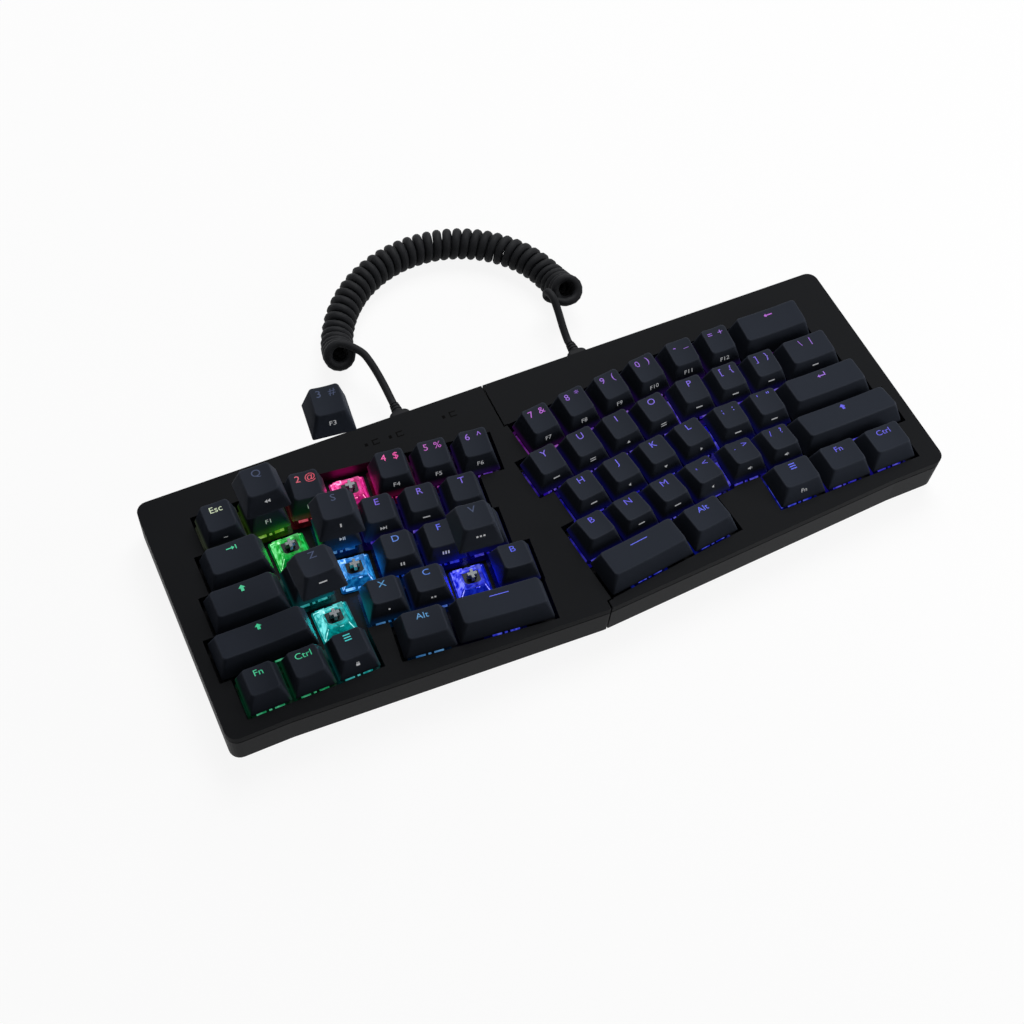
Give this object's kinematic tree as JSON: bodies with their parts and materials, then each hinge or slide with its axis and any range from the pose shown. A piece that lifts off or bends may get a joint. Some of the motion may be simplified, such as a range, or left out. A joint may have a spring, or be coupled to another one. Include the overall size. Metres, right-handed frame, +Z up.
{
  "type": "split keyboard",
  "caption": "Ergonomic split keyboard: two halves with turned key blocks, sprung keys on clear switches, some caps lifted off, joined at the back by a curly cable.",
  "frame": {"origin": "on the standing surface, under the middle of the two halves together", "axes": "X along the width to the right hand, Y to the back edge with the cable, Z up"},
  "size_m": [0.3402, 0.2279, 0.0918],
  "materials": {
    "case_plastic": "fine satin moulding texture",
    "keycap_plastic": "painted satin with clear legends",
    "stem_plastic": "smooth moulded",
    "switch_clear": "clear moulded",
    "plate_steel": "powder coated",
    "board_laminate": "solder mask",
    "steel": "plated",
    "battery_foil": "foil pouch",
    "foot_rubber": "matte",
    "cord_rubber": "matte moulded"
  },
  "bodies": {
    "left_half": {"left_top_cover": "case_plastic", "left_bottom_case": "case_plastic", "left_switch_plate": "plate_steel", "left_circuit_board": "board_laminate", "left_switch_housings": "switch_clear", "left_feet": "foot_rubber", "left_screws": "steel", "left_bridge_socket": "steel", "left_plug": "cord_rubber", "left_lead": "cord_rubber", "host_socket": "steel", "battery": "battery_foil", "cable_coil": "cord_rubber"},
    "right_half": {"right_top_cover": "case_plastic", "right_bottom_case": "case_plastic", "right_switch_plate": "plate_steel", "right_circuit_board": "board_laminate", "right_switch_housings": "switch_clear", "right_feet": "foot_rubber", "right_screws": "steel", "right_bridge_socket": "steel", "right_lead": "cord_rubber", "right_plug": "cord_rubber"},
    "esc_key": {"esc_key": "keycap_plastic"},
    "tab_key": {"tab_key": "keycap_plastic"},
    "caps_lock_key": {"caps_lock_key": "keycap_plastic"},
    "left_shift_key": {"left_shift_key": "keycap_plastic"},
    "left_fn_key": {"left_fn_key": "keycap_plastic"},
    "left_ctrl_key": {"left_ctrl_key": "keycap_plastic"},
    "left_menu_key": {"left_menu_key": "keycap_plastic"},
    "left_alt_key": {"left_alt_key": "keycap_plastic"},
    "left_space_bar": {"left_space_bar": "keycap_plastic"},
    "left_number_keys": {"left_number_keys": "keycap_plastic"},
    "left_upper_keys": {"left_upper_keys": "keycap_plastic"},
    "left_home_keys": {"left_home_keys": "keycap_plastic"},
    "left_lower_keys": {"left_lower_keys": "keycap_plastic"},
    "backspace_key": {"backspace_key": "keycap_plastic"},
    "backslash_key": {"backslash_key": "keycap_plastic"},
    "enter_key": {"enter_key": "keycap_plastic"},
    "right_shift_key": {"right_shift_key": "keycap_plastic"},
    "right_menu_key": {"right_menu_key": "keycap_plastic"},
    "right_fn_key": {"right_fn_key": "keycap_plastic"},
    "right_ctrl_key": {"right_ctrl_key": "keycap_plastic"},
    "right_alt_key": {"right_alt_key": "keycap_plastic"},
    "right_space_bar": {"right_space_bar": "keycap_plastic"},
    "right_number_keys": {"right_number_keys": "keycap_plastic"},
    "right_upper_keys": {"right_upper_keys": "keycap_plastic"},
    "right_home_keys": {"right_home_keys": "keycap_plastic"},
    "right_lower_keys": {"right_lower_keys": "keycap_plastic"},
    "stem_3": {"stem_3": "stem_plastic"},
    "lifted_cap_3": {"lifted_cap_3": "keycap_plastic"},
    "stem_q": {"stem_q": "stem_plastic"},
    "lifted_cap_q": {"lifted_cap_q": "keycap_plastic"},
    "stem_s": {"stem_s": "stem_plastic"},
    "lifted_cap_s": {"lifted_cap_s": "keycap_plastic"},
    "stem_z": {"stem_z": "stem_plastic"},
    "lifted_cap_z": {"lifted_cap_z": "keycap_plastic"},
    "stem_v": {"stem_v": "stem_plastic"},
    "lifted_cap_v": {"lifted_cap_v": "keycap_plastic"}
  },
  "joints": [
    {"name": "halves_apart", "type": "slide", "parent": "left_half", "child": "right_half", "axis": [0.994, 0.1097, 0], "range_m": [0, 0.1], "deforming": ["cable_coil"]},
    {"name": "esc_key_press", "type": "slide", "parent": "left_half", "child": "esc_key", "axis": [0, 0, 1], "range_m": [-0.004, 0], "stiffness_N_per_m": 75, "springref_m": 0.004},
    {"name": "tab_key_press", "type": "slide", "parent": "left_half", "child": "tab_key", "axis": [0, 0, 1], "range_m": [-0.004, 0], "stiffness_N_per_m": 75, "springref_m": 0.004},
    {"name": "caps_lock_key_press", "type": "slide", "parent": "left_half", "child": "caps_lock_key", "axis": [0, 0, 1], "range_m": [-0.004, 0], "stiffness_N_per_m": 75, "springref_m": 0.004},
    {"name": "left_shift_key_press", "type": "slide", "parent": "left_half", "child": "left_shift_key", "axis": [0, 0, 1], "range_m": [-0.004, 0], "stiffness_N_per_m": 75, "springref_m": 0.004},
    {"name": "left_fn_key_press", "type": "slide", "parent": "left_half", "child": "left_fn_key", "axis": [0, 0, 1], "range_m": [-0.004, 0], "stiffness_N_per_m": 75, "springref_m": 0.004},
    {"name": "left_ctrl_key_press", "type": "slide", "parent": "left_half", "child": "left_ctrl_key", "axis": [0, 0, 1], "range_m": [-0.004, 0], "stiffness_N_per_m": 75, "springref_m": 0.004},
    {"name": "left_menu_key_press", "type": "slide", "parent": "left_half", "child": "left_menu_key", "axis": [0, 0, 1], "range_m": [-0.004, 0], "stiffness_N_per_m": 75, "springref_m": 0.004},
    {"name": "left_alt_key_press", "type": "slide", "parent": "left_half", "child": "left_alt_key", "axis": [0, 0, 1], "range_m": [-0.004, 0], "stiffness_N_per_m": 75, "springref_m": 0.004},
    {"name": "left_space_bar_press", "type": "slide", "parent": "left_half", "child": "left_space_bar", "axis": [0, 0, 1], "range_m": [-0.004, 0], "stiffness_N_per_m": 75, "springref_m": 0.004},
    {"name": "left_number_keys_press", "type": "slide", "parent": "left_half", "child": "left_number_keys", "axis": [0, 0, 1], "range_m": [-0.004, 0], "stiffness_N_per_m": 375, "springref_m": 0.004},
    {"name": "left_upper_keys_press", "type": "slide", "parent": "left_half", "child": "left_upper_keys", "axis": [0, 0, 1], "range_m": [-0.004, 0], "stiffness_N_per_m": 300, "springref_m": 0.004},
    {"name": "left_home_keys_press", "type": "slide", "parent": "left_half", "child": "left_home_keys", "axis": [0, 0, 1], "range_m": [-0.004, 0], "stiffness_N_per_m": 300, "springref_m": 0.004},
    {"name": "left_lower_keys_press", "type": "slide", "parent": "left_half", "child": "left_lower_keys", "axis": [0, 0, 1], "range_m": [-0.004, 0], "stiffness_N_per_m": 225, "springref_m": 0.004},
    {"name": "backspace_key_press", "type": "slide", "parent": "right_half", "child": "backspace_key", "axis": [0, 0, 1], "range_m": [-0.004, 0], "stiffness_N_per_m": 75, "springref_m": 0.004},
    {"name": "backslash_key_press", "type": "slide", "parent": "right_half", "child": "backslash_key", "axis": [0, 0, 1], "range_m": [-0.004, 0], "stiffness_N_per_m": 75, "springref_m": 0.004},
    {"name": "enter_key_press", "type": "slide", "parent": "right_half", "child": "enter_key", "axis": [0, 0, 1], "range_m": [-0.004, 0], "stiffness_N_per_m": 75, "springref_m": 0.004},
    {"name": "right_shift_key_press", "type": "slide", "parent": "right_half", "child": "right_shift_key", "axis": [0, 0, 1], "range_m": [-0.004, 0], "stiffness_N_per_m": 75, "springref_m": 0.004},
    {"name": "right_menu_key_press", "type": "slide", "parent": "right_half", "child": "right_menu_key", "axis": [0, 0, 1], "range_m": [-0.004, 0], "stiffness_N_per_m": 75, "springref_m": 0.004},
    {"name": "right_fn_key_press", "type": "slide", "parent": "right_half", "child": "right_fn_key", "axis": [0, 0, 1], "range_m": [-0.004, 0], "stiffness_N_per_m": 75, "springref_m": 0.004},
    {"name": "right_ctrl_key_press", "type": "slide", "parent": "right_half", "child": "right_ctrl_key", "axis": [0, 0, 1], "range_m": [-0.004, 0], "stiffness_N_per_m": 75, "springref_m": 0.004},
    {"name": "right_alt_key_press", "type": "slide", "parent": "right_half", "child": "right_alt_key", "axis": [0, 0, 1], "range_m": [-0.004, 0], "stiffness_N_per_m": 75, "springref_m": 0.004},
    {"name": "right_space_bar_press", "type": "slide", "parent": "right_half", "child": "right_space_bar", "axis": [0, 0, 1], "range_m": [-0.004, 0], "stiffness_N_per_m": 75, "springref_m": 0.004},
    {"name": "right_number_keys_press", "type": "slide", "parent": "right_half", "child": "right_number_keys", "axis": [0, 0, 1], "range_m": [-0.004, 0], "stiffness_N_per_m": 450, "springref_m": 0.004},
    {"name": "right_upper_keys_press", "type": "slide", "parent": "right_half", "child": "right_upper_keys", "axis": [0, 0, 1], "range_m": [-0.004, 0], "stiffness_N_per_m": 525, "springref_m": 0.004},
    {"name": "right_home_keys_press", "type": "slide", "parent": "right_half", "child": "right_home_keys", "axis": [0, 0, 1], "range_m": [-0.004, 0], "stiffness_N_per_m": 450, "springref_m": 0.004},
    {"name": "right_lower_keys_press", "type": "slide", "parent": "right_half", "child": "right_lower_keys", "axis": [0, 0, 1], "range_m": [-0.004, 0], "stiffness_N_per_m": 450, "springref_m": 0.004},
    {"name": "stem_3_press", "type": "slide", "parent": "left_half", "child": "stem_3", "axis": [0, 0, 1], "range_m": [-0.004, 0], "stiffness_N_per_m": 75, "springref_m": 0.004},
    {"name": "lifted_cap_3_seating", "type": "slide", "parent": "stem_3", "child": "lifted_cap_3", "axis": [0.1224, 0.0116, -0.9924], "range_m": [0, 0.06046]},
    {"name": "stem_q_press", "type": "slide", "parent": "left_half", "child": "stem_q", "axis": [0, 0, 1], "range_m": [-0.004, 0], "stiffness_N_per_m": 75, "springref_m": 0.004},
    {"name": "lifted_cap_q_seating", "type": "slide", "parent": "stem_q", "child": "lifted_cap_q", "axis": [0.1713, 0.1126, -0.9788], "range_m": [0, 0.0613]},
    {"name": "stem_s_press", "type": "slide", "parent": "left_half", "child": "stem_s", "axis": [0, 0, 1], "range_m": [-0.004, 0], "stiffness_N_per_m": 75, "springref_m": 0.004},
    {"name": "lifted_cap_s_seating", "type": "slide", "parent": "stem_s", "child": "lifted_cap_s", "axis": [0.147, 0.1323, -0.9802], "range_m": [0, 0.06121]},
    {"name": "stem_z_press", "type": "slide", "parent": "left_half", "child": "stem_z", "axis": [0, 0, 1], "range_m": [-0.004, 0], "stiffness_N_per_m": 75, "springref_m": 0.004},
    {"name": "lifted_cap_z_seating", "type": "slide", "parent": "stem_z", "child": "lifted_cap_z", "axis": [0.1384, 0.1628, -0.9769], "range_m": [0, 0.06142]},
    {"name": "stem_v_press", "type": "slide", "parent": "left_half", "child": "stem_v", "axis": [0, 0, 1], "range_m": [-0.004, 0], "stiffness_N_per_m": 75, "springref_m": 0.004},
    {"name": "lifted_cap_v_seating", "type": "slide", "parent": "stem_v", "child": "lifted_cap_v", "axis": [0.0934, 0.1573, -0.9831], "range_m": [0, 0.06103]}
  ]
}
